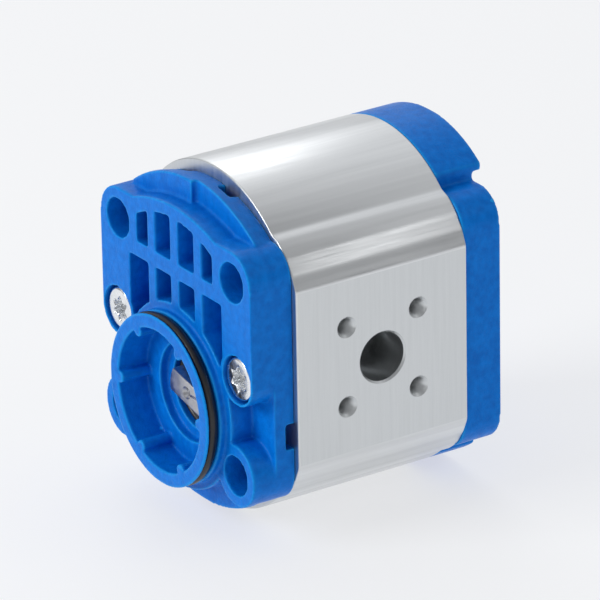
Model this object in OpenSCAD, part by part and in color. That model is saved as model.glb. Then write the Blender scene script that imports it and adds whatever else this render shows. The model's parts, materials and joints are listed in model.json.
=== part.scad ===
// External gear pump, flange mounted, driven through a tang shaft.
// Frame: origin on the drive axis in the mounting plane of the flange, +Y towards the rear,
// +X towards the pressure port, +Z from the drive gear towards the driven gear.
// Sections are drawn around the middle of the body, half a centre distance above the origin.

/* [Body] */
// Half width across the two port faces
case_half_w = 41.6; // [40:0.2:44]
// Front joint face of the case, behind the mounting plane
case_front = 14.2; // [14:0.2:18]
// Length of the case between its two joint faces
case_len = 59; // [58:0.5:64]
// Thickness of the end cover
end_cover_t = 13.2; // [12:0.2:18]
// Half width of both covers
cover_half_w = 39.6; // [39:0.1:40.5]
// Distance from the middle to each long mounting bolt, across and up
bolt_offset = 30; // [29.5:0.1:30.5]
// Radius of the four long bolt holes
bolt_hole_r = 6; // [5:0.1:6.2]

/* [Gears] */
// Number of teeth on each gear
teeth = 12; // [12:1:12]
// Gear module
gear_module = 2.6; // [2.5:0.05:2.7]
// Width of the gears
gear_w = 22; // [18:1:24]
// Height of the tooth above its pitch circle
addendum = 2.5; // [2.3:0.05:2.5]
// Tooth thickness taken off for backlash, measured on the pitch circle
backlash = 0.16; // [0.1:0.02:0.3]
// Radius of the shaft journals
journal_r = 9; // [8:0.1:9.5]

/* [Flange] */
// Radius of the centring pilot
pilot_r = 26; // [25:0.5:26]
// How far the pilot stands out in front of the mounting plane
pilot_len = 6.7; // [6:0.1:8]
// Radius of the coupling recess inside the pilot
recess_r = 21.7; // [21:0.1:22]
// Front face of the base plate behind the mounting plane
plate_front = 7.5; // [7:0.1:8.5]
// Floor of the cast pockets behind the mounting plane
pocket_floor = 9.5; // [8.5:0.1:10]
// Width of the upright ribs
rib_w = 4.2; // [3.5:0.1:4.6]

/* [Drive tang] */
// Thickness of the drive tang
tang_t = 7.6; // [7:0.1:8.5]
// Width of the drive tang
tang_w = 17.8; // [17:0.1:17.8]
// Turn of the tang about the shaft at rest
tang_turn = -12; // [-90:1:90]

/* [Ports] */
// Radius of the pressure port
pressure_r = 7.5; // [6:0.1:8]
// Bolt circle radius of the pressure port
pressure_bolt_r = 17.5; // [15:0.1:18]
// Radius of the suction port
suction_r = 10; // [8:0.1:10.5]
// Bolt circle radius of the suction port
suction_bolt_r = 20; // [17.5:0.1:20.5]
// Depth of the round part of each port
port_depth = 19; // [15:0.5:20]
// Tapping radius and depth of the port threads
port_thread_r = 2.5; // [2.1:0.1:2.6]
port_thread_depth = 13; // [10:0.5:14]

/* [Fixing screws] */
// Distance of the fixing screws from the middle plane
screw_x = 31.6; // [31:0.1:31.8]
// Radius of the screw head
screw_head_r = 6.6; // [6:0.1:6.7]
// Height of the screw head
screw_head_h = 4.9; // [4:0.1:5]
// Radius of the screw shank
screw_r = 4; // [3.5:0.1:4]
// Length of the screw under its head
screw_len = 24; // [20:0.5:25]

/* [Hidden] */
$fn = 96;
cut = 1;                                   // how far a cut runs past the face it opens

// Colours
paint = [0.02, 0.36, 0.72];
bare_aluminium = [0.78, 0.79, 0.80];
bearing_alloy = [0.66, 0.67, 0.68];
ground_steel = [0.62, 0.63, 0.65];
zinc = [0.80, 0.81, 0.82];
black_rubber = [0.05, 0.05, 0.06];
bronze = [0.62, 0.48, 0.28];
seal_plastic = [0.85, 0.83, 0.76];

// Axes and joint faces
pitch_r = gear_module * teeth / 2;
centre_distance = 2 * pitch_r;
mid_z = centre_distance / 2;               // height of the body's middle over the drive axis
case_rear = case_front + case_len;
cover_rear = case_rear + end_cover_t;
port_y = case_front + case_len / 2;
gear_front = port_y - gear_w / 2;
gear_rear = port_y + gear_w / 2;
quarters = [[1, 1], [-1, 1], [-1, -1], [1, -1]];

// Gear tooth form
pressure_angle = 20;
base_r = pitch_r * cos(pressure_angle);
tip_r = pitch_r + addendum;
root_r = pitch_r - addendum - 0.75;
flank_steps = 6;
root_round = 2;                            // angle over which a flank runs into the root

// Fits
bore_r = tip_r + 0.1;                      // gear chambers in the case
block_r = bore_r - 0.03;                   // bearing blocks slide in the chambers
bush_wall = 1.5;
bush_outer_r = journal_r + bush_wall;
bush_bore_r = journal_r + 0.03;
side_gap = 0.05;                           // between the gears and the bearing blocks
bush_inset = 0.8;
journal_end_gap = 1.3;

// Case section
port_flat_half = 27.4;
case_arc_r = 43;
case_arc_z = 9.8;
case_bevel = [
    [case_half_w, port_flat_half], [case_half_w - 1.8, 31.6], [36.8, 36.2], [34.2, 38.6],
    [32.3, 40], [28.8, 41.3]
];

// Seals between the case and the covers
case_seal_in = bore_r + 1.4;
case_seal_w = 2.4;
case_seal_t = 2;

// Axial zone seals in the bearing blocks, open towards the suction side
zone_in = 12.2;
zone_mid = 14.2;
zone_out = 16.2;
zone_depth = 2.4;
zone_open_x = -9;

// Flange casting
boss_r = 9.5;
flange_arc_r = 52;
flange_arc_top = 50.4;
flange_arc_half = 31;
flange_draft = 1.4;                        // the flange is this much smaller at the joint
rib_arc_r = 60;
rib_arc_top = 43.5;
pocket_arc_r = 43;
pocket_arc_top = 39.5;
bar_low = 21;                              // cross rib between the two rows of pockets
bar_high = 26;
rib_x = 12.2;
upper_pocket_half = 20;
lower_pocket_half = 24.3;
ring_boss_r = 28.3;
screw_boss_r = 8;
side_bottom = -1;
left_step = 1.9;                           // the left half of the base plate stands forward
left_step_end = 1.3;
pad_at = [8.2, 9.6];                       // round pad cast in one of the lower pockets
pad_r = 3.4;
pad_front = 3;

// Notches for levering off the front cover
notch_front = case_front - 3;
notch_depth = 6.5;
side_notch_depth = 5.4;
side_notch_z = -17.6;
side_notch_h = 7.8;

// Coupling recess and shaft seal bore
recess_floor = 3.5;
lug_r = 1.8;
lugs = 6;
step_bore_r = 15;
step_back = 6.3;
seal_bore_r = 12;
seal_front = 8.1;
seal_back = 12.2;
seal_case_r = 10.95;                       // inside of the outer wall of the seal
lip_back_r = 10.15;
lip_wall_r = 10.2;
lip_r = journal_r + 0.05;
spring_r = 0.38;
spring_ring_r = lip_back_r + spring_r + 0.02;
spring_y = 11.1;

// O-ring on the pilot
o_ring_r = 1.5;
o_ring_y = -4.1;
o_ring_groove_w = 3.5;
o_ring_centre_r = pilot_r - o_ring_r;

// Drive shaft end
tang_front = 3;
tang_back = 9.8;
centre_drill_r = 2;
centre_drill_depth = 4;

// Fixing screws and dowels
counterbore_r = 7.2;
counterbore_depth = 5.6;
screw_hole_r = 4.05;
screw_z = 0.5;
lobe_r = 0.95;
lobe_centre_r = 2.75;
lobe_core_r = 2.75;
lobe_depth = 3;
dowel_r = 2.5;
dowel_len = 9;
dowel_at = [31, -13];
head_chamfer = 0.8;

// End cover casting
end_arc_half = 26;
end_rim_t = 3.1;                           // rim at the top that stands back from the rear face
end_rim_w = 6;
end_boss_r = 9.6;
end_pocket_t = 6;
end_pocket_half = 19;
end_pocket_low = 22;
end_pocket_wall = 7;

// ---------- helpers ----------

// Extrudes a section drawn in X and Z from y0 to y1
module along_y(y0, y1) {
    translate([0, y1, 0]) rotate([90, 0, 0]) linear_extrude(y1 - y0) children();
}

// A round bar along Y
module rod_y(r, y0, y1) {
    along_y(y0, y1) circle(r = r);
}

// Turns a profile of [radius, y] points about the Y axis
module turned() {
    rotate([-90, 0, 0]) rotate_extrude($fn = 128) children();
}

// Moves children from the drive axis to the middle of the body
module from_middle() {
    translate([0, 0, mid_z]) children();
}

// Circles in the four quarters of the section
module four_circles(at, r) {
    for (q = quarters) translate([q.x * at.x, q.y * at.y]) circle(r = r);
}

// Copies children to the other end of the section, turned by half a turn
module up_and_down() {
    children();
    rotate(180) children();
}

// Two circles on the two shaft axes
module twin_circles(r) {
    for (s = [-1, 1]) translate([0, s * mid_z]) circle(r = r);
}

// Four long bolt holes, as a section
module bolt_holes() {
    four_circles([bolt_offset, bolt_offset], bolt_hole_r);
}

// Both fixing screw positions, as a section
module at_screws() {
    for (s = [-1, 1]) translate([s * screw_x, screw_z]) children();
}

// Both dowel positions on a joint face, as a section
module at_dowels() {
    for (s = [-1, 1]) translate(s * dowel_at) children();
}

// Full-width segment under an arc with its top at the given height
module arc_segment(r, top, half_w) {
    intersection() {
        translate([0, top - r]) circle(r = r);
        translate([-half_w, 0]) square([2 * half_w, top + cut]);
    }
}

// ---------- gears ----------

function involute(t) = base_r * [cos(t) + t * PI / 180 * sin(t), sin(t) - t * PI / 180 * cos(t)];
function roll_angle(r) = sqrt(r * r / base_r / base_r - 1) * 180 / PI;
function turned_by(p, a) = [p.x * cos(a) - p.y * sin(a), p.x * sin(a) + p.y * cos(a)];

// Half the angle of a tooth at its base circle
half_base_angle = (PI * gear_module / 2 - backlash) / 2 / pitch_r * 180 / PI
    + (tan(pressure_angle) * 180 / PI - pressure_angle);

// One flank from the root to the tip, on the clockwise side of the tooth
function flank() = concat(
    [turned_by([root_r, 0], -half_base_angle - root_round),
     turned_by([root_r + 0.6, 0], -half_base_angle)],
    [for (i = [0 : flank_steps])
        turned_by(involute(roll_angle(tip_r) * i / flank_steps), -half_base_angle)]
);
function flipped(points) = [for (i = [len(points) - 1 : -1 : 0]) [points[i].x, -points[i].y]];

// Gear section with a tooth centred on the given angle
module gear_section(first_tooth) {
    tooth = concat(flank(), flipped(flank()));
    polygon([for (i = [0 : teeth - 1]) for (p = tooth) turned_by(p, first_tooth + i * 360 / teeth)]);
}

// Gear with its two journals, on the axis of the origin
module gear_on_shaft(first_tooth, front_end) {
    along_y(gear_front, gear_rear) gear_section(first_tooth);
    rod_y(journal_r, front_end, gear_front);
    rod_y(journal_r, gear_rear, case_rear - journal_end_gap);
}

module drive_gear_shaft() {
    color(ground_steel) difference() {
        union() {
            gear_on_shaft(0, tang_back);
            intersection() {
                rod_y(tang_w / 2, tang_front, tang_back);
                rotate([0, -tang_turn, 0])
                    translate([-tang_w / 2, tang_front, -tang_t / 2])
                    cube([tang_w, tang_back - tang_front, tang_t]);
            }
        }
        turned() polygon([[0, tang_front - cut], [centre_drill_r + cut / 2, tang_front - cut],
                          [centre_drill_r, tang_front], [centre_drill_r / 2, tang_front + 1.4],
                          [centre_drill_r / 2, tang_front + centre_drill_depth],
                          [0, tang_front + centre_drill_depth]]);
    }
}

module driven_gear_shaft() {
    color(ground_steel) translate([0, 0, centre_distance])
        gear_on_shaft(180 / teeth, case_front + journal_end_gap);
}

// ---------- front cover ----------

// Outline of the base plate of the flange
module plate_outline() {
    square([2 * cover_half_w, 2 * bolt_offset], center = true);
    square([2 * bolt_offset, 2 * (bolt_offset + boss_r)], center = true);
    four_circles([bolt_offset, bolt_offset], boss_r);
}

// Everything that reaches forward to the mounting plane, before the pockets
module raised_outline() {
    four_circles([bolt_offset, bolt_offset], boss_r);
    translate([-cover_half_w, side_bottom]) square([2 * cover_half_w, bolt_offset - side_bottom]);
    translate([-bolt_offset, 0]) square([2 * bolt_offset, bolt_offset + boss_r]);
    arc_segment(rib_arc_r, rib_arc_top, bolt_offset);
    translate([0, -mid_z]) circle(r = ring_boss_r);
    at_screws() circle(r = screw_boss_r);
}

// Cast pockets above and below the cross rib
module pocket_outline() {
    difference() {
        union() {
            intersection() {
                translate([0, pocket_arc_top - pocket_arc_r]) circle(r = pocket_arc_r);
                translate([-upper_pocket_half, bar_high]) square([2 * upper_pocket_half, pocket_arc_r]);
            }
            translate([-lower_pocket_half, 0]) square([2 * lower_pocket_half, bar_low]);
        }
        translate([0, -mid_z]) circle(r = ring_boss_r);
        at_screws() circle(r = screw_boss_r + 0.6);
        for (x = [-rib_x, 0, rib_x])
            translate([x - rib_w / 2, 0]) square([rib_w, rib_arc_r]);
    }
}

// Notches for levering the cover off, open at the joint face
module lever_notches() {
    along_y(notch_front, case_front + cut) {
        for (s = [-1, 1]) translate([s * cover_half_w, side_notch_z * s])
            square([2 * side_notch_depth, side_notch_h], center = true);
        up_and_down() difference() {
            union() {
                translate([-17, 0]) square([8, flange_arc_top + cut]);
                translate([6.3, 0]) square([6.2, flange_arc_top + cut]);
            }
            translate([0, flange_arc_top - flange_arc_r]) circle(r = flange_arc_r - notch_depth);
        }
    }
}

// Top and bottom of the base plate: arcs with the draft of the casting
module drafted_arcs() {
    for (turn = [0, 180]) rotate([0, turn, 0]) intersection() {
        translate([0, 0, flange_arc_top - flange_arc_r]) turned() polygon([
            [0, plate_front], [flange_arc_r, plate_front],
            [flange_arc_r - flange_draft, case_front], [0, case_front]]);
        translate([-flange_arc_half, plate_front, 0])
            cube([2 * flange_arc_half, case_front - plate_front, flange_arc_top + cut]);
    }
}

// Coupling recess with its lugs and the seal bore behind it
module recess_and_seal_bore() {
    along_y(-pilot_len - cut, recess_floor) difference() {
        circle(r = recess_r);
        for (i = [0 : lugs - 1]) rotate(i * 360 / lugs) translate([recess_r - 0.6, 0]) circle(r = lug_r, $fn = 32);
    }
    rod_y(step_bore_r, recess_floor - cut, step_back);
    rod_y(seal_bore_r, step_back - cut, seal_back);
    rod_y(lip_wall_r, seal_back - cut, case_front + cut);
}

module front_cover() {
    color(paint) difference() {
        union() {
            from_middle() {
                along_y(plate_front, case_front) plate_outline();
                drafted_arcs();
                along_y(0, plate_front) raised_outline();
                along_y(plate_front - left_step, plate_front) intersection() {
                    arc_segment(flange_arc_r, flange_arc_top, bolt_offset);
                    translate([-bolt_offset, 0]) square([bolt_offset + left_step_end, flange_arc_top + cut]);
                }
            }
            rod_y(pilot_r, -pilot_len, 0);
        }
        from_middle() {
            difference() {
                along_y(-cut, pocket_floor) pocket_outline();
                along_y(pad_front, pocket_floor) translate(pad_at) circle(r = pad_r);
            }
            along_y(-cut, case_front + cut) bolt_holes();
            along_y(-cut, counterbore_depth) at_screws() circle(r = counterbore_r);
            along_y(-cut, case_front + cut) at_screws() circle(r = screw_hole_r);
            along_y(case_front - dowel_len / 2, case_front + cut) at_dowels() circle(r = dowel_r);
            lever_notches();
        }
        recess_and_seal_bore();
        turned() translate([0, o_ring_y - o_ring_groove_w / 2]) difference() {
            square([pilot_r + cut, o_ring_groove_w]);
            square([o_ring_centre_r - o_ring_r, o_ring_groove_w]);
        }
    }
}

// ---------- case ----------

// A quarter of an outline, mirrored into the quarter with the given signs and kept in order
function quarter(points, q) = [
    for (i = [0 : len(points) - 1])
        let (p = points[q.x * q.y > 0 ? i : len(points) - 1 - i]) [q.x * p.x, q.y * p.y]
];

module case_outline() {
    polygon([for (q = quarters) each quarter(case_bevel, q)]);
    intersection() {
        for (s = [-1, 1]) translate([0, s * case_arc_z]) circle(r = case_arc_r, $fn = 192);
        square([2 * case_half_w, 4 * case_arc_r], center = true);
    }
}

// Groove or ring of constant width around both gear chambers
module seal_track(inner_r, width) {
    difference() {
        twin_circles(inner_r + width);
        twin_circles(inner_r);
    }
}

// Port along X from a face at x0, with its four tapped holes
module port_cut(r, bolt_r) {
    rotate([0, 90, 0]) translate([0, 0, -port_depth]) cylinder(r = r, h = port_depth + cut);
    rotate([0, 90, 0]) translate([0, 0, -case_half_w]) cylinder(r = r - 1.5, h = case_half_w);
    for (i = [0 : 3]) rotate([45 + 90 * i, 0, 0]) translate([0, bolt_r, 0]) rotate([0, 90, 0]) {
        translate([0, 0, -port_thread_depth]) cylinder(r = port_thread_r, h = port_thread_depth + cut, $fn = 48);
        translate([0, 0, -1]) cylinder(r1 = port_thread_r, r2 = port_thread_r + 1, h = 1, $fn = 48);
    }
}

module pump_case() {
    color(bare_aluminium) from_middle() difference() {
        along_y(case_front, case_rear) case_outline();
        along_y(case_front - cut, case_rear + cut) {
            twin_circles(bore_r);
            bolt_holes();
        }
        translate([case_half_w, port_y, 0]) port_cut(pressure_r, pressure_bolt_r);
        translate([-case_half_w, port_y, 0]) rotate([0, 0, 180]) port_cut(suction_r, suction_bolt_r);
        along_y(case_front - cut, case_front + case_seal_t) seal_track(case_seal_in, case_seal_w);
        along_y(case_rear - case_seal_t, case_rear + cut) seal_track(case_seal_in, case_seal_w);
        along_y(case_front - cut, counterbore_depth + screw_len + 1) at_screws() circle(r = screw_hole_r);
        along_y(cover_rear - counterbore_depth - screw_len - 1, case_rear + cut)
            at_screws() circle(r = screw_hole_r);
        along_y(case_front - cut, case_front + dowel_len / 2) at_dowels() circle(r = dowel_r);
        along_y(case_rear - dowel_len / 2, case_rear + cut) at_dowels() circle(r = dowel_r);
    }
}

// ---------- end cover ----------

module end_outline() {
    square([2 * cover_half_w, 2 * bolt_offset], center = true);
    square([2 * bolt_offset, 2 * (bolt_offset + end_boss_r)], center = true);
    four_circles([bolt_offset, bolt_offset], end_boss_r);
    up_and_down() arc_segment(case_arc_r, case_arc_z + case_arc_r, end_arc_half);
}

// Raised rim around the top of the rear face
module end_rim() {
    difference() {
        arc_segment(case_arc_r, case_arc_z + case_arc_r, end_arc_half);
        translate([0, case_arc_z]) circle(r = case_arc_r - end_rim_w, $fn = 192);
        translate([-case_half_w, 0]) square([2 * case_half_w, bolt_offset]);
    }
}

// Cast pockets in the rear face between the bolt bosses
module end_pockets() {
    up_and_down() difference() {
        arc_segment(case_arc_r - end_pocket_wall, case_arc_z + case_arc_r - end_pocket_wall, end_pocket_half);
        translate([-end_pocket_half - cut, 0]) square([2 * (end_pocket_half + cut), end_pocket_low]);
        translate([-rib_w / 2, 0]) square([rib_w, case_arc_r + case_arc_z]);
    }
}

module end_cover() {
    color(paint) from_middle() difference() {
        union() {
            along_y(case_rear, cover_rear) end_outline();
            along_y(cover_rear, cover_rear + end_rim_t) end_rim();
        }
        along_y(case_rear - cut, cover_rear + cut) bolt_holes();
        along_y(cover_rear - end_pocket_t, cover_rear + cut) end_pockets();
        along_y(cover_rear - counterbore_depth, cover_rear + cut) at_screws() circle(r = counterbore_r);
        along_y(case_rear - cut, cover_rear + cut) at_screws() circle(r = screw_hole_r);
        along_y(case_rear - cut, case_rear + dowel_len / 2) at_dowels() circle(r = dowel_r);
    }
}

// ---------- bearings ----------

// Bearing block with two bush bores and the groove of its axial zone seal on the outer face
module bearing_block(outer_face, gear_face) {
    inward = sign(gear_face - outer_face);
    groove = [outer_face - inward * cut, outer_face + inward * zone_depth];
    pocket = [gear_face - inward * 1.6, gear_face + inward * cut];
    color(bearing_alloy) from_middle() difference() {
        along_y(min(outer_face, gear_face), max(outer_face, gear_face)) twin_circles(block_r);
        along_y(min(outer_face, gear_face) - cut, max(outer_face, gear_face) + cut) twin_circles(bush_outer_r);
        along_y(min(groove), max(groove)) zone_track(zone_in, zone_out);
        along_y(min(pocket), max(pocket)) for (s = [-1, 1])
            translate([s * 5.2, 0]) square([3.6, 6], center = true);
    }
}

// Track of the axial zone seal: a ring around each journal, open towards the suction side
module zone_track(inner_r, outer_r) {
    intersection() {
        difference() {
            twin_circles(outer_r);
            twin_circles(inner_r);
        }
        translate([zone_open_x, -2 * centre_distance]) square([4 * centre_distance, 4 * centre_distance]);
    }
}

module bush(axis_z, y0, y1) {
    color(bronze) translate([0, 0, axis_z]) along_y(y0, y1) difference() {
        circle(r = bush_outer_r);
        circle(r = bush_bore_r);
    }
}

front_block_face = gear_front - side_gap;
rear_block_face = gear_rear + side_gap;

module front_bearing_block() { bearing_block(case_front, front_block_face); }
module rear_bearing_block() { bearing_block(case_rear, rear_block_face); }
module front_drive_bush() { bush(0, case_front + bush_inset, front_block_face - bush_inset); }
module front_driven_bush() { bush(centre_distance, case_front + bush_inset, front_block_face - bush_inset); }
module rear_drive_bush() { bush(0, rear_block_face + bush_inset, case_rear - bush_inset); }
module rear_driven_bush() { bush(centre_distance, rear_block_face + bush_inset, case_rear - bush_inset); }

// ---------- seals ----------

module shaft_seal() {
    color(black_rubber) turned() polygon([
        [seal_bore_r, seal_front], [seal_bore_r, seal_back], [seal_case_r, seal_back],
        [seal_case_r, seal_front + 1.2], [lip_back_r + 0.2, seal_front + 1.2], [lip_back_r, 10],
        [lip_back_r, 11.9], [9.6, 11.9], [lip_r, spring_y], [9.45, 10.2], [9.75, seal_front]
    ]);
}

module seal_garter_spring() {
    color(ground_steel) turned() translate([spring_ring_r, spring_y]) circle(r = spring_r, $fn = 32);
}

module pilot_o_ring() {
    color(black_rubber) turned() translate([o_ring_centre_r, o_ring_y]) circle(r = o_ring_r, $fn = 48);
}

module case_seal(y0) {
    color(black_rubber) from_middle() along_y(y0, y0 + case_seal_t) seal_track(case_seal_in, case_seal_w);
}

module zone_seal(y0) {
    color(black_rubber) from_middle() along_y(y0, y0 + zone_depth) zone_track(zone_mid, zone_out);
}

module zone_supports(y0) {
    color(seal_plastic) from_middle() along_y(y0, y0 + zone_depth) intersection() {
        zone_track(zone_in, zone_out);
        twin_circles(zone_mid);
    }
}

module front_case_seal() { case_seal(case_front); }
module rear_case_seal() { case_seal(case_rear - case_seal_t); }
module front_axial_seal() { zone_seal(case_front); }
module rear_axial_seal() { zone_seal(case_rear - zone_depth); }
module front_seal_supports() { zone_supports(case_front); }
module rear_seal_supports() { zone_supports(case_rear - zone_depth); }

// ---------- fasteners ----------

module dowels(joint_face) {
    color(ground_steel) from_middle() along_y(joint_face - dowel_len / 2 + 0.2, joint_face + dowel_len / 2 - 0.2)
        at_dowels() circle(r = dowel_r);
}

// Screw along Y with a six-lobe socket; the seat is the plane under its head
module lobe_screw(seat, outward) {
    translate([0, seat, 0]) rotate([0, 0, outward < 0 ? 0 : 180]) difference() {
        union() {
            turned() polygon([[0, -screw_head_h], [screw_head_r - head_chamfer, -screw_head_h],
                              [screw_head_r, -screw_head_h + head_chamfer], [screw_head_r, 0], [0, 0]]);
            rod_y(screw_r, 0, screw_len);
        }
        along_y(-screw_head_h - cut, -screw_head_h + lobe_depth) {
            circle(r = lobe_core_r, $fn = 48);
            for (i = [0 : 5]) rotate(60 * i) translate([lobe_centre_r, 0]) circle(r = lobe_r, $fn = 32);
        }
    }
}

module screw_pair(seat, outward) {
    color(zinc) for (s = [-1, 1]) translate([s * screw_x, 0, mid_z + screw_z]) lobe_screw(seat, outward);
}

module front_dowel_pins() { dowels(case_front); }
module rear_dowel_pins() { dowels(case_rear); }
module front_cover_screws() { screw_pair(counterbore_depth, -1); }
module end_cover_screws() { screw_pair(cover_rear - counterbore_depth, 1); }

// ---------- parts ----------

front_cover();
pump_case();
end_cover();
drive_gear_shaft();
driven_gear_shaft();
front_bearing_block();
rear_bearing_block();
front_drive_bush();
front_driven_bush();
rear_drive_bush();
rear_driven_bush();
shaft_seal();
seal_garter_spring();
pilot_o_ring();
front_case_seal();
rear_case_seal();
front_axial_seal();
rear_axial_seal();
front_seal_supports();
rear_seal_supports();
front_dowel_pins();
rear_dowel_pins();
front_cover_screws();
end_cover_screws();
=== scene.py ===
"""Looks of the gear pump: painted castings, a satin extruded case, bright screws and a black O-ring."""
import json
import math

import bmesh
import bpy
import numpy as np
from mathutils import Matrix, Vector


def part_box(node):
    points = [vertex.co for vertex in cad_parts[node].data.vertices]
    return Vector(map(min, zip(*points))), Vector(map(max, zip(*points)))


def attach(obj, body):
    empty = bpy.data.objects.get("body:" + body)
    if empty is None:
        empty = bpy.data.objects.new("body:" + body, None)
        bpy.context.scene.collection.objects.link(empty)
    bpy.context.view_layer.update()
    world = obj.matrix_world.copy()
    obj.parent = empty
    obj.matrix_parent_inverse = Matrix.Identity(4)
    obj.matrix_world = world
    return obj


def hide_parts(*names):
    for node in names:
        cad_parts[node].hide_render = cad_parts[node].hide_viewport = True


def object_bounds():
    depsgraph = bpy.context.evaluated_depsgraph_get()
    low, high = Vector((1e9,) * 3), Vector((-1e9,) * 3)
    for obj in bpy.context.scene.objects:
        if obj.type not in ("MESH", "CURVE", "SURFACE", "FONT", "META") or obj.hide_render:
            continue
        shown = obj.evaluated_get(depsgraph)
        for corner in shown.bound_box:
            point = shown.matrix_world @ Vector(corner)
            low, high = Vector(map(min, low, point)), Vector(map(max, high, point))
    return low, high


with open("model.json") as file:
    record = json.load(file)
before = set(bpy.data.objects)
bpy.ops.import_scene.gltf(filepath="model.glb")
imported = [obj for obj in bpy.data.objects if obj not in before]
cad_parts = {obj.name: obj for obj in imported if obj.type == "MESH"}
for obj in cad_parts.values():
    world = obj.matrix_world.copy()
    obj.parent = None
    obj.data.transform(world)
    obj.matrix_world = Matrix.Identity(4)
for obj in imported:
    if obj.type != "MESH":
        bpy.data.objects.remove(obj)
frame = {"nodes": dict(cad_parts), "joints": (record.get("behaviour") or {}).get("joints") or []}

CAD_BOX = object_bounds()
MM = 0.001
NODES = frame["nodes"]
SCENE = bpy.context.scene

# Where things are, from the frame
case_low, case_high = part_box("pump_case")
JOINTS = {j["name"]: Vector(j["pos_m"]) for j in frame["joints"]}
DRIVE_AXIS = JOINTS["drive_gear_spin"]
DRIVEN_AXIS = JOINTS["driven_gear_spin"]
MIDDLE = (DRIVE_AXIS + DRIVEN_AXIS) / 2
AXIS_OFFSET = (DRIVEN_AXIS - DRIVE_AXIS).z / 2

# Sizes that several pieces share, in millimetres: arcs of the case, and the cover screws about MIDDLE
CASE_ARC_R, CASE_ARC_Z = 43.0, 9.8
SCREW_OUT, SCREW_UP = 31.6, 0.5
SCREW_HEAD_H = 4.9
FRONT_SEAT = 5.6


# ---------- camera, floor and light ----------

def make_camera():
    """Long lens from the right front and above, with the flange centre left of and below the view axis."""
    azimuth, elevation, roll = (math.radians(a) for a in (56.685, 23.241, -1.087))
    distance, left, below = 1.7806, 0.03563, 0.01322
    back = Vector((math.sin(azimuth) * math.cos(elevation),
                   -math.cos(azimuth) * math.cos(elevation), math.sin(elevation)))
    level = Vector((0, 0, 1)).cross(back).normalized()
    upright = back.cross(level)
    right = math.cos(roll) * level + math.sin(roll) * upright
    up = math.cos(roll) * upright - math.sin(roll) * level
    data = bpy.data.cameras.new("camera")
    data.lens = 370.9
    data.sensor_width = 36
    data.clip_start, data.clip_end = 0.05, 50
    camera = bpy.data.objects.new("camera", data)
    camera.matrix_world = Matrix((right, up, back)).transposed().to_4x4()
    camera.location = MIDDLE + back * distance + right * left + up * below
    SCENE.collection.objects.link(camera)
    SCENE.camera = camera


def make_floor():
    """A wide pale floor just under the lowest point of the pump."""
    size = 12.0
    z = CAD_BOX[0].z - 0.0002
    mesh = bpy.data.meshes.new("floor")
    corners = [(-size, -size, z), (size, -size, z), (size, size, z), (-size, size, z)]
    mesh.from_pydata(corners, [], [(0, 1, 2, 3)])
    floor = bpy.data.objects.new("floor", mesh)
    SCENE.collection.objects.link(floor)
    mat, shader = new_material("floor", (0.355, 0.36, 0.365), roughness=0.9)
    shader.inputs["Specular IOR Level"].default_value = 0.1
    shader.inputs["Emission Color"].default_value = (0.9, 0.905, 0.92, 1)
    shader.inputs["Emission Strength"].default_value = 0.67
    mesh.materials.append(mat)


def make_light(name, direction, distance, size, power, colour=(1, 1, 1)):
    """An area light that looks at the pump from a direction."""
    data = bpy.data.lights.new(name, "AREA")
    data.shape = "RECTANGLE"
    data.size, data.size_y = size
    data.energy = power
    data.color = colour
    light = bpy.data.objects.new(name, data)
    target = (CAD_BOX[0] + CAD_BOX[1]) / 2
    way = Vector(direction).normalized()
    light.location = target + way * distance
    light.rotation_mode = "QUATERNION"
    light.rotation_quaternion = (-way).to_track_quat("-Z", "Y")
    SCENE.collection.objects.link(light)


def make_world():
    """Soft studio: grey, darker at the horizon, brighter above, behind and to the left."""
    world = bpy.data.worlds.new("studio")
    world.use_nodes = True
    tree = world.node_tree
    backdrop = tree.nodes["Background"]
    backdrop.inputs["Color"].default_value = (0.97, 0.98, 1.0, 1)
    place = tree.nodes.new("ShaderNodeTexCoord")
    towards = tree.nodes.new("ShaderNodeVectorMath")
    towards.operation = "DOT_PRODUCT"
    towards.inputs[1].default_value = Vector((-0.65, 0.5, 0.57)).normalized()
    tree.links.new(place.outputs["Generated"], towards.inputs[0])
    parts = []
    for start, stop, low, high in ((0.3, 0.8, 0.36, 0.70), (0.76, 0.92, 0.0, 0.20)):
        ramp = tree.nodes.new("ShaderNodeMapRange")
        ramp.interpolation_type = "SMOOTHSTEP"
        ramp.inputs["From Min"].default_value = start
        ramp.inputs["From Max"].default_value = stop
        ramp.inputs["To Min"].default_value = low
        ramp.inputs["To Max"].default_value = high
        tree.links.new(towards.outputs["Value"], ramp.inputs["Value"])
        parts.append(ramp.outputs["Result"])
    total = tree.nodes.new("ShaderNodeMath")
    tree.links.new(parts[0], total.inputs[0])
    tree.links.new(parts[1], total.inputs[1])
    level = tree.nodes.new("ShaderNodeSeparateXYZ")
    tree.links.new(place.outputs["Generated"], level.inputs[0])
    horizon = tree.nodes.new("ShaderNodeMapRange")
    horizon.interpolation_type = "SMOOTHSTEP"
    horizon.inputs["From Max"].default_value = 0.3
    horizon.inputs["To Min"].default_value = 0.5
    tree.links.new(level.outputs["Z"], horizon.inputs["Value"])
    strength = tree.nodes.new("ShaderNodeMath")
    strength.operation = "MULTIPLY"
    tree.links.new(total.outputs["Value"], strength.inputs[0])
    tree.links.new(horizon.outputs["Result"], strength.inputs[1])
    tree.links.new(strength.outputs["Value"], backdrop.inputs["Strength"])
    SCENE.world = world


# ---------- materials ----------

def new_material(name, colour, roughness=0.5, metallic=0.0):
    """A plain material and its shader node."""
    mat = bpy.data.materials.new(name)
    mat.use_nodes = True
    shader = mat.node_tree.nodes["Principled BSDF"]
    shader.inputs["Base Color"].default_value = (*colour, 1)
    shader.inputs["Roughness"].default_value = roughness
    shader.inputs["Metallic"].default_value = metallic
    return mat, shader


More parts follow.
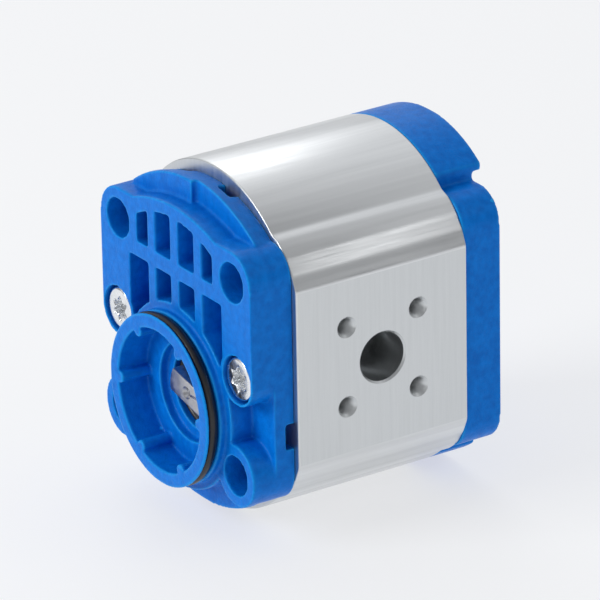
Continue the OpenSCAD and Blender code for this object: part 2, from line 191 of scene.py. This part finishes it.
def noise(mat, scale, stretch=(1, 1, 1), detail=3.0):
    """A noise texture on the material, in steps of 1 / scale metres, stretched along the axes."""
    tree = mat.node_tree
    place = tree.nodes.new("ShaderNodeTexCoord")
    mapping = tree.nodes.new("ShaderNodeMapping")
    texture = tree.nodes.new("ShaderNodeTexNoise")
    mapping.inputs["Scale"].default_value = [1 / s for s in stretch]
    texture.inputs["Scale"].default_value = scale
    texture.inputs["Detail"].default_value = detail
    tree.links.new(place.outputs["Object"], mapping.inputs["Vector"])
    tree.links.new(mapping.outputs["Vector"], texture.inputs["Vector"])
    return texture.outputs["Fac"]


def remap(mat, value, low, high):
    """Maps the middle of a noise to a range."""
    node = mat.node_tree.nodes.new("ShaderNodeMapRange")
    node.inputs["From Min"].default_value = 0.3
    node.inputs["From Max"].default_value = 0.7
    node.inputs["To Min"].default_value = low
    node.inputs["To Max"].default_value = high
    mat.node_tree.links.new(value, node.inputs["Value"])
    return node.outputs["Result"]


def tint(mat, shader, value, dark, light):
    """Mixes two colours into the base colour."""
    node = mat.node_tree.nodes.new("ShaderNodeMix")
    node.data_type = "RGBA"
    node.inputs["A"].default_value = (*dark, 1)
    node.inputs["B"].default_value = (*light, 1)
    mat.node_tree.links.new(value, node.inputs["Factor"])
    mat.node_tree.links.new(node.outputs["Result"], shader.inputs["Base Color"])


def bump(mat, shader, heights):
    """Stacks bumps, each a value and its height in metres."""
    previous = None
    for value, height in heights:
        node = mat.node_tree.nodes.new("ShaderNodeBump")
        node.inputs["Strength"].default_value = 1.0
        node.inputs["Distance"].default_value = height
        mat.node_tree.links.new(value, node.inputs["Height"])
        if previous:
            mat.node_tree.links.new(previous, node.inputs["Normal"])
        previous = node.outputs["Normal"]
    mat.node_tree.links.new(previous, shader.inputs["Normal"])


def surface(name, dark, light, roughness, metallic, grains, specular=0.5):
    """A finish: two close tints, a range of roughness and grains of (scale, stretch, height)."""
    mat, shader = new_material(name, light, roughness[0], metallic)
    shader.inputs["Specular IOR Level"].default_value = specular
    fields = [noise(mat, scale, stretch) for scale, stretch, height in grains]
    tint(mat, shader, remap(mat, fields[0], 0, 1), dark, light)
    mat.node_tree.links.new(remap(mat, fields[-1], *roughness), shader.inputs["Roughness"])
    bump(mat, shader, [(field, grain[2]) for field, grain in zip(fields, grains)])
    return mat


def turned_steel(name, dark, light, roughness, pitch):
    """Steel with fine turning marks round the drive axis."""
    mat = surface(name, dark, light, roughness, 1.0, [(500, (1, 1, 1), 2e-6)])
    tree = mat.node_tree
    place = tree.nodes.new("ShaderNodeTexCoord")
    wave = tree.nodes.new("ShaderNodeTexWave")
    wave.wave_type = "RINGS"
    wave.rings_direction = "Y"
    wave.inputs["Scale"].default_value = 0.3 / pitch
    wave.inputs["Distortion"].default_value = 0.4
    tree.links.new(place.outputs["Object"], wave.inputs["Vector"])
    marks = tree.nodes.new("ShaderNodeBump")
    marks.inputs["Distance"].default_value = 4e-6
    shader = tree.nodes["Principled BSDF"]
    tree.links.new(shader.inputs["Normal"].links[0].from_socket, marks.inputs["Normal"])
    tree.links.new(wave.outputs["Fac"], marks.inputs["Height"])
    tree.links.new(marks.outputs["Normal"], shader.inputs["Normal"])
    return mat


def cast_paint(name, dark, light, edge, recess):
    """Paint on a sand-cast skin, with a painted highlight on raised edges and painted shade in the
    recesses.
    """
    even = (1, 1, 1)
    skin = [(420, even, 1.3e-4), (1700, even, 9e-5)]
    mat = surface(name, dark, light, (0.26, 0.46), 0.0, skin, specular=0.1)
    tree = mat.node_tree
    shader = tree.nodes["Principled BSDF"]
    coat = shader.inputs["Base Color"].links[0].from_socket
    shape = tree.nodes.new("ShaderNodeNewGeometry").outputs["Pointiness"]
    painted_shade_occlusion = tree.nodes.new("ShaderNodeAmbientOcclusion")
    painted_shade_occlusion.inputs["Distance"].default_value = 8 * MM
    # Painted shade: the recess colour is mixed in where ambient occlusion finds the surface hemmed in.
    # Painted highlight: the edge colour is mixed in on convex edges by pointiness.
    layers = [(painted_shade_occlusion.outputs["AO"], 0.75, 0.2, recess), (shape, 0.505, 0.57, edge)]
    for value, start, stop, colour in layers:
        share = tree.nodes.new("ShaderNodeMapRange")
        share.inputs["From Min"].default_value = start
        share.inputs["From Max"].default_value = stop
        tree.links.new(value, share.inputs["Value"])
        blend = tree.nodes.new("ShaderNodeMix")
        blend.data_type = "RGBA"
        blend.inputs["B"].default_value = (*colour, 1)
        tree.links.new(share.outputs["Result"], blend.inputs["Factor"])
        tree.links.new(coat, blend.inputs["A"])
        coat = blend.outputs["Result"]
    tree.links.new(coat, shader.inputs["Base Color"])
    return mat


def make_materials():
    """Every finish on the pump, by the name of its slot in the record."""
    even = (1, 1, 1)
    drawn = [(300, (1, 40, 1), 4e-6), (1400, (1, 30, 1), 3e-6)]
    milled = [(900, (1, 1, 25), 8e-7)]
    return {
        # The third colour is a painted highlight for raised edges, the fourth is painted shade for
        # recesses.
        "blue_paint": cast_paint("blue_paint", (0.0, 0.14, 0.57), (0.001, 0.19, 0.7), (0.01, 0.33, 0.82),
                                 (0.0, 0.085, 0.45)),
        "bare_aluminium": surface("bare_aluminium", (0.64, 0.655, 0.665), (0.75, 0.765, 0.775),
                                  (0.28, 0.42), 1.0, drawn),
        "machined_aluminium": surface("machined_aluminium", (0.60, 0.62, 0.63), (0.655, 0.675, 0.685),
                                      (0.3, 0.42), 1.0, milled),
        "ground_steel": turned_steel("ground_steel", (0.42, 0.42, 0.43), (0.56, 0.56, 0.57),
                                     (0.28, 0.42), 0.0006),
        "bearing_alloy": surface("bearing_alloy", (0.52, 0.53, 0.54), (0.62, 0.63, 0.64),
                                 (0.4, 0.55), 1.0, [(700, even, 6e-6)]),
        "bush_bronze": surface("bush_bronze", (0.42, 0.27, 0.10), (0.55, 0.37, 0.16),
                               (0.3, 0.45), 1.0, [(600, even, 5e-6)]),
        "black_rubber": surface("black_rubber", (0.006, 0.006, 0.007), (0.014, 0.014, 0.016),
                                (0.3, 0.45), 0.0, [(900, even, 1.2e-5)]),
        "seal_plastic": surface("seal_plastic", (0.68, 0.64, 0.55), (0.76, 0.73, 0.64),
                                (0.45, 0.6), 0.0, [(800, even, 8e-6)]),
        "spring_steel": surface("spring_steel", (0.40, 0.40, 0.41), (0.5, 0.5, 0.51),
                                (0.3, 0.4), 1.0, [(900, even, 4e-6)]),
        "zinc_steel": surface("zinc_steel", (0.74, 0.76, 0.78), (0.88, 0.89, 0.90),
                              (0.16, 0.30), 1.0, [(650, even, 1.5e-5)]),
    }


# ---------- mesh helpers ----------

def new_object(name, mesh, mat, smooth_angle=32):
    """Links a mesh, shaded smooth except across sharp edges."""
    mesh.materials.clear()
    mesh.materials.append(mat)
    mesh.shade_smooth()
    mesh.set_sharp_from_angle(angle=math.radians(smooth_angle))
    obj = bpy.data.objects.new(name, mesh)
    SCENE.collection.objects.link(obj)
    return obj


def loft(rings, close=False):
    """Mesh through rings of equally many points, with capped ends unless it closes on itself."""
    count = len(rings[0])
    mesh = bpy.data.meshes.new("loft")
    points = [tuple(p) for ring in rings for p in ring]
    faces = []
    last = len(rings) if close else len(rings) - 1
    for i in range(last):
        a, b = i * count, (i + 1) % len(rings) * count
        faces += [(a + k, a + (k + 1) % count, b + (k + 1) % count, b + k) for k in range(count)]
    if not close:
        faces.append(tuple(reversed(range(count))))
        faces.append(tuple(range((len(rings) - 1) * count, len(rings) * count)))
    mesh.from_pydata(points, [], faces)
    tidy_mesh(mesh)
    return mesh


def tidy_mesh(mesh):
    """Welds doubled points and turns all faces outwards."""
    work = bmesh.new()
    work.from_mesh(mesh)
    bmesh.ops.remove_doubles(work, verts=work.verts, dist=1e-7)
    bmesh.ops.dissolve_degenerate(work, edges=work.edges, dist=1e-7)
    bmesh.ops.recalc_face_normals(work, faces=work.faces)
    work.to_mesh(mesh)
    work.free()


def circle_ring(centre, along, across, radius, y, segments):
    """Ring of points about an axis; radius is a number or a function of the angle."""
    other = along.cross(across)
    ring = []
    for k in range(segments):
        angle = 2 * math.pi * k / segments
        reach = radius(angle) if callable(radius) else radius
        ring.append(centre + along * y + (across * math.cos(angle) + other * math.sin(angle)) * reach)
    return ring


def turned(profile, centre, along=Vector((0, 1, 0)), across=Vector((1, 0, 0)), segments=96, close=False):
    """Turns a profile of (radius, distance along the axis) in millimetres about an axis."""
    def scaled(radius):
        return (lambda angle: radius(angle) * MM) if callable(radius) else radius * MM
    rings = [circle_ring(centre, along, across, scaled(r), y * MM, segments) for r, y in profile]
    return loft(rings, close)


def baked(obj):
    """Mesh of an object with its modifiers applied."""
    graph = bpy.context.evaluated_depsgraph_get()
    mesh = bpy.data.meshes.new_from_object(obj.evaluated_get(graph))
    return mesh


def subtract(obj, cutters):
    """Cuts the cutter meshes from an object."""
    for cutter in cutters:
        tool = bpy.data.objects.new("cutter", cutter)
        SCENE.collection.objects.link(tool)
        cut = obj.modifiers.new("cut", "BOOLEAN")
        cut.object = tool
        cut.operation = "DIFFERENCE"
        cut.solver = "EXACT"
        bpy.context.view_layer.update()
        obj.data = baked(obj)
        obj.modifiers.clear()
        bpy.data.objects.remove(tool)


# ---------- castings ----------

def cast_copy(node, name, voxel, passes, softness, mat, keep, cutters=()):
    """Copy of a casting, cut and with rounded edges; softness gives each point its share of rounding."""
    mesh = NODES[node].data.copy()
    tidy_mesh(mesh)
    obj = bpy.data.objects.new(name, mesh)
    SCENE.collection.objects.link(obj)
    subtract(obj, cutters)
    remesh = obj.modifiers.new("remesh", "REMESH")
    remesh.mode = "VOXEL"
    remesh.voxel_size = voxel * MM
    bpy.context.view_layer.update()
    obj.data = baked(obj)
    obj.modifiers.clear()
    points = np.empty(len(obj.data.vertices) * 3)
    obj.data.vertices.foreach_get("co", points)
    weights = softness(points.reshape(-1, 3) / MM)
    group = obj.vertex_groups.new(name="softness")
    for share in np.unique(weights):
        group.add(np.flatnonzero(weights == share).tolist(), float(share), "REPLACE")
    rounding = obj.modifiers.new("rounding", "SMOOTH")
    rounding.factor = 0.5
    rounding.iterations = passes
    rounding.vertex_group = "softness"
    evening = obj.modifiers.new("evening", "SMOOTH")
    evening.factor = 0.5
    evening.iterations = 2
    fewer = obj.modifiers.new("fewer", "DECIMATE")
    fewer.ratio = keep
    bpy.context.view_layer.update()
    obj.data = baked(obj)
    obj.modifiers.clear()
    obj.data.materials.clear()
    obj.data.materials.append(mat)
    obj.data.shade_smooth()
    return obj


def front_cover_softness(points):
    """Cast parts are soft; the pilot, the recess, the counterbores and the joint face are machined."""
    x, y, z = points.T
    joint_skin, flange_skin = 1.2, 0.4
    past_pilot_r, past_recess_r, past_counterbore_r = 27, 22.6, 8
    from_drive = np.hypot(x, z)
    from_screw = np.hypot(np.abs(x) - SCREW_OUT, z - AXIS_OFFSET / MM - SCREW_UP)
    share = np.ones(len(x))
    share[y > case_low.y / MM - joint_skin] = 0.1
    share[(from_drive < past_pilot_r) & (y < flange_skin)] = 0.1
    share[from_drive < past_recess_r] = 0.1
    share[from_screw < past_counterbore_r] = 0.2
    return share


def end_cover_softness(points):
    """The rear face and its rim are soft, the joint face is machined."""
    y = points[:, 1]
    joint_skin = 1.0
    share = np.ones(len(y))
    share[y < case_high.y / MM + joint_skin] = 0.1
    return share


def rim_trimmer(side):
    """Cutter that leaves only a thin lip of the rear rim near its end."""
    face_y, past_y = 86.4, 91.0
    lip_inner_r, below_rim_r = 40.9, 35.0
    turns = [math.radians(a) for a in range(44, 65, 2)]
    section = [(lip_inner_r * math.cos(t), lip_inner_r * math.sin(t)) for t in turns]
    section += [(below_rim_r * math.cos(t), below_rim_r * math.sin(t)) for t in reversed(turns)]
    arc_z = MIDDLE.z / MM + CASE_ARC_Z
    return loft([[Vector((side * x, y, arc_z + z)) * MM for x, z in section] for y in (face_y, past_y)])


# ---------- case ----------

def case_outline():
    """Outline of the extrusion in millimetres about its middle, with its corners eased."""
    half_width = case_high.x / MM
    quarter = np.array([(half_width, 27.4), (half_width - 1.8, 31.6), (36.8, 36.2),
                        (34.2, 38.6), (32.3, 40.0), (28.8, 41.3)])
    sides = [(1, 1), (-1, 1), (-1, -1), (1, -1)]
    polygon = np.concatenate([(quarter if s * t > 0 else quarter[::-1]) * (s, t) for s, t in sides])
    circles = [(np.array((0, s * CASE_ARC_Z)), CASE_ARC_R) for s in (-1, 1)]
    angles = np.linspace(0, 2 * np.pi, 2880, endpoint=False)
    ways = np.stack([np.cos(angles), np.sin(angles)], 1)
    reach = np.zeros(len(ways))
    for a, b in zip(polygon, np.roll(polygon, -1, 0)):
        edge = b - a
        cross = ways[:, 0] * edge[1] - ways[:, 1] * edge[0]
        with np.errstate(divide="ignore", invalid="ignore"):
            along = (a[0] * edge[1] - a[1] * edge[0]) / cross
            share = (a[0] * ways[:, 1] - a[1] * ways[:, 0]) / cross
        hit = (along > 0) & (share >= 0) & (share <= 1)
        reach[hit] = np.maximum(reach[hit], along[hit])
    for centre, radius in circles:
        middle = ways @ centre
        inside = middle ** 2 - centre @ centre + radius ** 2
        hit = inside > 0
        reach[hit] = np.maximum(reach[hit], middle[hit] + np.sqrt(inside[hit]))
    reach = np.minimum(reach, half_width / np.maximum(np.abs(ways[:, 0]), 0.01))
    return eased(ways * reach[:, None], spacing=0.3, ease=0.5)


def eased(loop, spacing, ease):
    """Evenly spaced copy of a closed loop with its corners rounded over a length."""
    closed = np.concatenate([loop, loop[:1]])
    steps = np.concatenate([[0], np.cumsum(np.linalg.norm(np.diff(closed, axis=0), axis=1))])
    count = int(steps[-1] / spacing)
    places = np.arange(count) * steps[-1] / count
    even = np.stack([np.interp(places, steps, closed[:, i]) for i in (0, 1)], 1)
    offsets = np.arange(-12, 13)
    weights = np.exp(-0.5 * (offsets * spacing / ease) ** 2)
    weights /= weights.sum()
    return sum(w * np.roll(even, -o, 0) for o, w in zip(offsets, weights))


def inset(loop, by):
    """Loop moved inwards along its normals."""
    ahead = np.roll(loop, -1, 0) - np.roll(loop, 1, 0)
    normal = np.stack([-ahead[:, 1], ahead[:, 0]], 1)
    return loop + normal / np.linalg.norm(normal, axis=1)[:, None] * by


def port_cutters(side, port_r, bolt_r):
    """Cutters for one port: the stepped bore with its chamfer and four tapped holes."""
    face = Vector((side * case_high.x, (case_low.y + case_high.y) / 2, MIDDLE.z))
    inwards = Vector((-side, 0, 0))
    across = Vector((0, 1, 0))
    depth = case_high.x / MM
    step_at, inner_r = 19, port_r - 1.5
    bore = turned([(port_r + 1.6, -1), (port_r + 0.6, 0), (port_r, 0.6), (port_r, step_at),
                   (inner_r, step_at + 0.5), (inner_r, depth), (0.01, depth)], face, inwards, across, 128)
    cutters = [bore]
    crest_r, root_r, pitch, turns = 2.5, 2.85, 0.8, 15
    thread = [(4.3, -1), (3.3, 0)]
    for k in range(turns):
        thread += [(crest_r, 0.8 + k * pitch), (root_r, 0.8 + (k + 0.5) * pitch)]
    thread += [(crest_r, 0.8 + turns * pitch), (0.01, 2.0 + turns * pitch)]
    for k in range(4):
        turn = math.radians(45 + 90 * k)
        place = face + Vector((0, math.cos(turn), math.sin(turn))) * bolt_r * MM
        cutters.append(turned(thread, place, inwards, across, 40))
    return cutters


def make_case(mats):
    """The extruded case with its ports, tapped holes, long bolt holes and gear chambers."""
    outline = case_outline()
    front, rear = case_low.y / MM, case_high.y / MM
    edge = 0.55
    turns = [math.radians(a) for a in (0, 30, 60, 90)]
    ends = [(edge - edge * math.sin(t), edge - edge * math.cos(t)) for t in turns]
    levels = [(by, front + back) for by, back in ends]
    levels += [(by, rear - back) for by, back in reversed(ends)]
    rings = []
    for by, y in levels:
        loop = inset(outline, by)
        rings.append([(x * MM, y * MM, MIDDLE.z + z * MM) for x, z in loop])
    obj = new_object("case_body", loft(rings), mats["bare_aluminium"])
    chamber_r, bolt_r, bolt_at = 18.2, 6.0, 30.0
    through = [(chamber_r, axis.x / MM, axis.z / MM, 192) for axis in (DRIVE_AXIS, DRIVEN_AXIS)]
    through += [(bolt_r, s * bolt_at, MIDDLE.z / MM + t * bolt_at, 64) for s in (-1, 1) for t in (-1, 1)]
    cutters = [turned([(r, front - 1), (r, rear + 1)], Vector((x * MM, 0, z * MM)), segments=n)
               for r, x, z, n in through]
    pressure_port, suction_port = (7.5, 17.5), (10.0, 20.0)
    cutters += port_cutters(1, *pressure_port)
    cutters += port_cutters(-1, *suction_port)
    subtract(obj, cutters)
    mesh = obj.data
    mesh.materials.clear()
    mesh.materials.append(mats["bare_aluminium"])
    mesh.materials.append(mats["machined_aluminium"])
    for face in mesh.polygons:
        flat_side = abs(face.normal.x) > 0.999 and abs(face.center.x) > case_high.x - 0.05 * MM
        inner = abs(face.center.x) < case_high.x - 0.1 * MM and abs(face.normal.y) > 0.99
        sideways = Vector((face.normal.y, face.normal.z)).length > 0.7
        bore_wall = sideways and abs(face.center.x) < 41.5 * MM
        along_body = abs(face.normal.y) < 0.01 and not flat_side
        face.material_index = 1 if flat_side or inner or (bore_wall and not along_body) else 0
    mesh.shade_smooth()
    mesh.set_sharp_from_angle(angle=math.radians(28))
    return obj


# ---------- small parts ----------

def make_screw(name, seat, outward, side, mat):
    """Low-head screw with a six-lobe socket, an eased head and a thread."""
    head_r, head_h, shank_r, length = 6.6, SCREW_HEAD_H, 4.0, 24.0
    centre = Vector((side * SCREW_OUT * MM, seat * MM, MIDDLE.z + SCREW_UP * MM))
    inwards = Vector((0, -outward, 0))

    def lobes(grow):
        return lambda angle: 3.05 + grow + 0.62 * math.cos(6 * angle)
    socket = [(0.01, 3.1 - head_h), (2.2, 3.1 - head_h), (lobes(-0.1), 2.8 - head_h),
              (lobes(0), 0.35 - head_h), (lobes(0.35), 0.03 - head_h)]
    head = [(4.6, -head_h), (head_r - 1.0, -head_h), (head_r - 0.45, 0.18 - head_h),
            (head_r - 0.12, 0.6 - head_h), (head_r, 1.1 - head_h), (head_r, -0.25), (head_r - 0.25, 0)]
    profile = socket + head + [(shank_r + 0.3, 0), (shank_r, 0.3)]
    pitch = 1.25
    start = length - 12 * pitch
    for k in range(11):
        profile += [(shank_r, start + k * pitch), (shank_r - 0.7, start + (k + 0.5) * pitch)]
    profile += [(shank_r, start + 11 * pitch), (shank_r - 0.9, length), (0.01, length)]
    mesh = turned(profile, centre, inwards, Vector((0, 0, 1)), 144)
    return new_object(name, mesh, mat, 40)


def make_o_ring(mat):
    """The O-ring, bulging a little out of its groove."""
    cord_r, middle_r, y = 1.52, 24.52, -4.1
    steps = 24
    turns = [2 * math.pi * k / steps for k in range(steps)]
    profile = [(middle_r + cord_r * math.cos(t), y + cord_r * math.sin(t)) for t in turns]
    mesh = turned(profile, DRIVE_AXIS.copy(), segments=256, close=True)
    return new_object("o_ring", mesh, mat, 60)


def make_shaft_seal(mat):
    """The shaft seal with eased edges and its lip."""
    jacket = [(11.98, 8.3), (11.98, 12.1), (11.0, 12.15), (10.97, 9.4)]
    lip = [(10.35, 9.35), (10.17, 10.0), (10.17, 11.8), (9.62, 11.85), (9.08, 11.1), (9.45, 10.2)]
    face = [(9.72, 8.6), (9.95, 8.2), (10.2, 8.15), (10.5, 8.45), (10.9, 8.5), (11.2, 8.2), (11.7, 8.12)]
    profile = jacket + lip + face
    mesh = turned(profile, DRIVE_AXIS.copy(), segments=160, close=True)
    return new_object("shaft_seal_ring", mesh, mat, 50)


def make_drive_shaft(mat):
    """Copy of the drive gear and shaft with the edges of the tang broken."""
    mesh = NODES["drive_gear_shaft"].data.copy()
    tidy_mesh(mesh)
    work = bmesh.new()
    work.from_mesh(mesh)
    bmesh.ops.dissolve_limit(work, angle_limit=math.radians(0.5), verts=work.verts, edges=work.edges)
    layers = work.edges.layers.float
    layer = layers.get("bevel_weight_edge") or layers.new("bevel_weight_edge")
    tang_back, drilling_r, sharp = 9.75 * MM, 3 * MM, math.radians(40)
    for edge in work.edges:
        near = all(v.co.y < tang_back and v.co.xz.length > drilling_r for v in edge.verts)
        if near and len(edge.link_faces) == 2 and edge.calc_face_angle() > sharp:
            edge[layer] = 1.0
    work.to_mesh(mesh)
    work.free()
    obj = new_object("drive_shaft", mesh, mat, 32)
    bevel = obj.modifiers.new("broken_edges", "BEVEL")
    bevel.limit_method = "WEIGHT"
    bevel.width = 0.4 * MM
    bevel.segments = 3
    bpy.context.view_layer.update()
    obj.data = baked(obj)
    obj.modifiers.clear()
    obj.data.shade_smooth()
    obj.data.set_sharp_from_angle(angle=math.radians(32))
    return obj


# ---------- putting it together ----------

def stand_for(obj, node, body):
    """The piece takes the place of a CAD node and moves with its body."""
    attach(obj, body)
    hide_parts(node)


def main():
    make_camera()
    make_world()
    make_floor()
    make_light("key", (-0.2, -0.9, 0.45), 1.6, (0.8, 0.7), 14)
    make_light("crown", (-0.68, 0.3, 0.66), 1.5, (0.6, 0.6), 1.9)
    make_light("side", (1.0, -0.5, 0.15), 1.8, (0.7, 0.9), 2.2)
    make_light("corner_strip", (0.633, 0.505, 0.587), 1.5, (0.9, 0.34), 1.3)
    SCENE.view_settings.view_transform = "Standard"

    mats = make_materials()
    slots = {
        "front_cover": "blue_paint", "end_cover": "blue_paint", "pump_case": "bare_aluminium",
        "drive_gear_shaft": "ground_steel", "driven_gear_shaft": "ground_steel",
        "front_bearing_block": "bearing_alloy", "rear_bearing_block": "bearing_alloy",
        "front_drive_bush": "bush_bronze", "front_driven_bush": "bush_bronze",
        "rear_drive_bush": "bush_bronze", "rear_driven_bush": "bush_bronze",
        "shaft_seal": "black_rubber", "seal_garter_spring": "spring_steel", "pilot_o_ring": "black_rubber",
        "front_case_seal": "black_rubber", "rear_case_seal": "black_rubber",
        "front_axial_seal": "black_rubber", "rear_axial_seal": "black_rubber",
        "front_seal_supports": "seal_plastic", "rear_seal_supports": "seal_plastic",
        "front_dowel_pins": "ground_steel", "rear_dowel_pins": "ground_steel",
        "front_cover_screws": "zinc_steel", "end_cover_screws": "zinc_steel",
    }
    for name, node in NODES.items():
        node.data.materials.clear()
        node.data.materials.append(mats[slots[name]])
        eased_edges = node.modifiers.new("eased_edges", "BEVEL")
        eased_edges.width = 0.15 * MM
        eased_edges.limit_method = "ANGLE"
        eased_edges.angle_limit = math.radians(50)

    paint = mats["blue_paint"]
    trimmers = [rim_trimmer(side) for side in (-1, 1)]
    front = cast_copy("front_cover", "flange_casting", 0.4, 5, front_cover_softness, paint, 0.4)
    stand_for(front, "front_cover", "housing")
    end = cast_copy("end_cover", "end_casting", 0.45, 6, end_cover_softness, paint, 0.4, trimmers)
    stand_for(end, "end_cover", "housing")
    stand_for(make_case(mats), "pump_case", "housing")
    stand_for(make_o_ring(mats["black_rubber"]), "pilot_o_ring", "housing")
    stand_for(make_shaft_seal(mats["black_rubber"]), "shaft_seal", "housing")
    stand_for(make_drive_shaft(mats["ground_steel"]), "drive_gear_shaft", "drive_gear")
    rear_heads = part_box("end_cover_screws")[1].y / MM
    seats = {"front_cover_screws": (FRONT_SEAT, -1), "end_cover_screws": (rear_heads - SCREW_HEAD_H, 1)}
    for node, (seat, outward) in seats.items():
        for side, label in ((-1, "left"), (1, "right")):
            screw = make_screw(node[:-1] + "_" + label, seat, outward, side, mats["zinc_steel"])
            stand_for(screw, node, "housing")


main()
